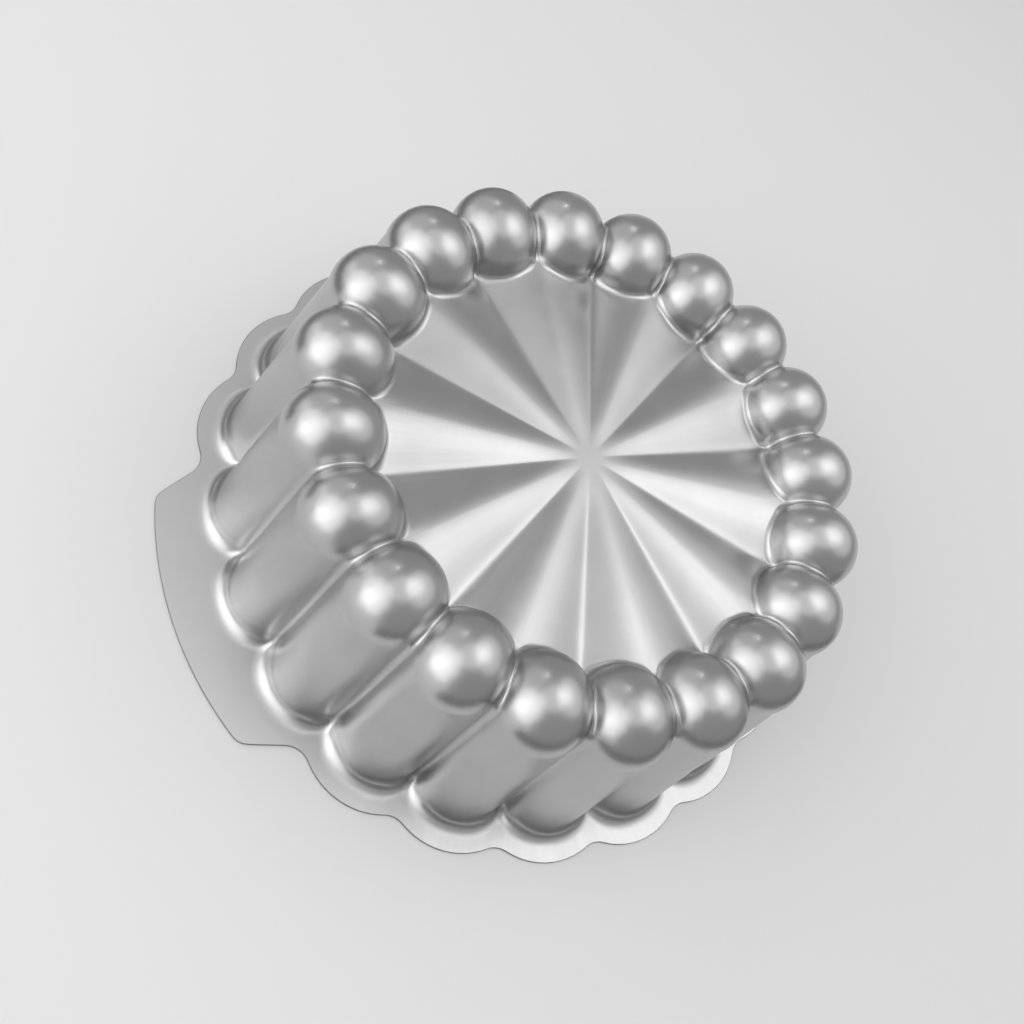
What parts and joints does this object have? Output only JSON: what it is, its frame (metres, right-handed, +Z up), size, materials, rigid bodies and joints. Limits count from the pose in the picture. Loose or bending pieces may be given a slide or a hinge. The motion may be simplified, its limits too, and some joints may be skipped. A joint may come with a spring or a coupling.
{
  "type": "charlotte mould",
  "caption": "Round fluted cake mould of pressed aluminium sheet, with a pleated crown in a ring of domed fingers, a scalloped flat rim and a grip tab on each side. It is filled from below.",
  "frame": {"origin": "centre of the rim flange's underside, which the mould rests on", "axes": "+Z up through the middle of the crown, +X through the middle of one grip tab, the other tab at -X"},
  "size_m": [0.2488, 0.232, 0.0773],
  "materials": {
    "pressed_aluminium": "satin"
  },
  "bodies": {
    "root": {"crown_panel": "pressed_aluminium", "fluted_wall": "pressed_aluminium", "rim_flange": "pressed_aluminium", "grip_tab_right": "pressed_aluminium", "grip_tab_left": "pressed_aluminium"}
  },
  "joints": []
}
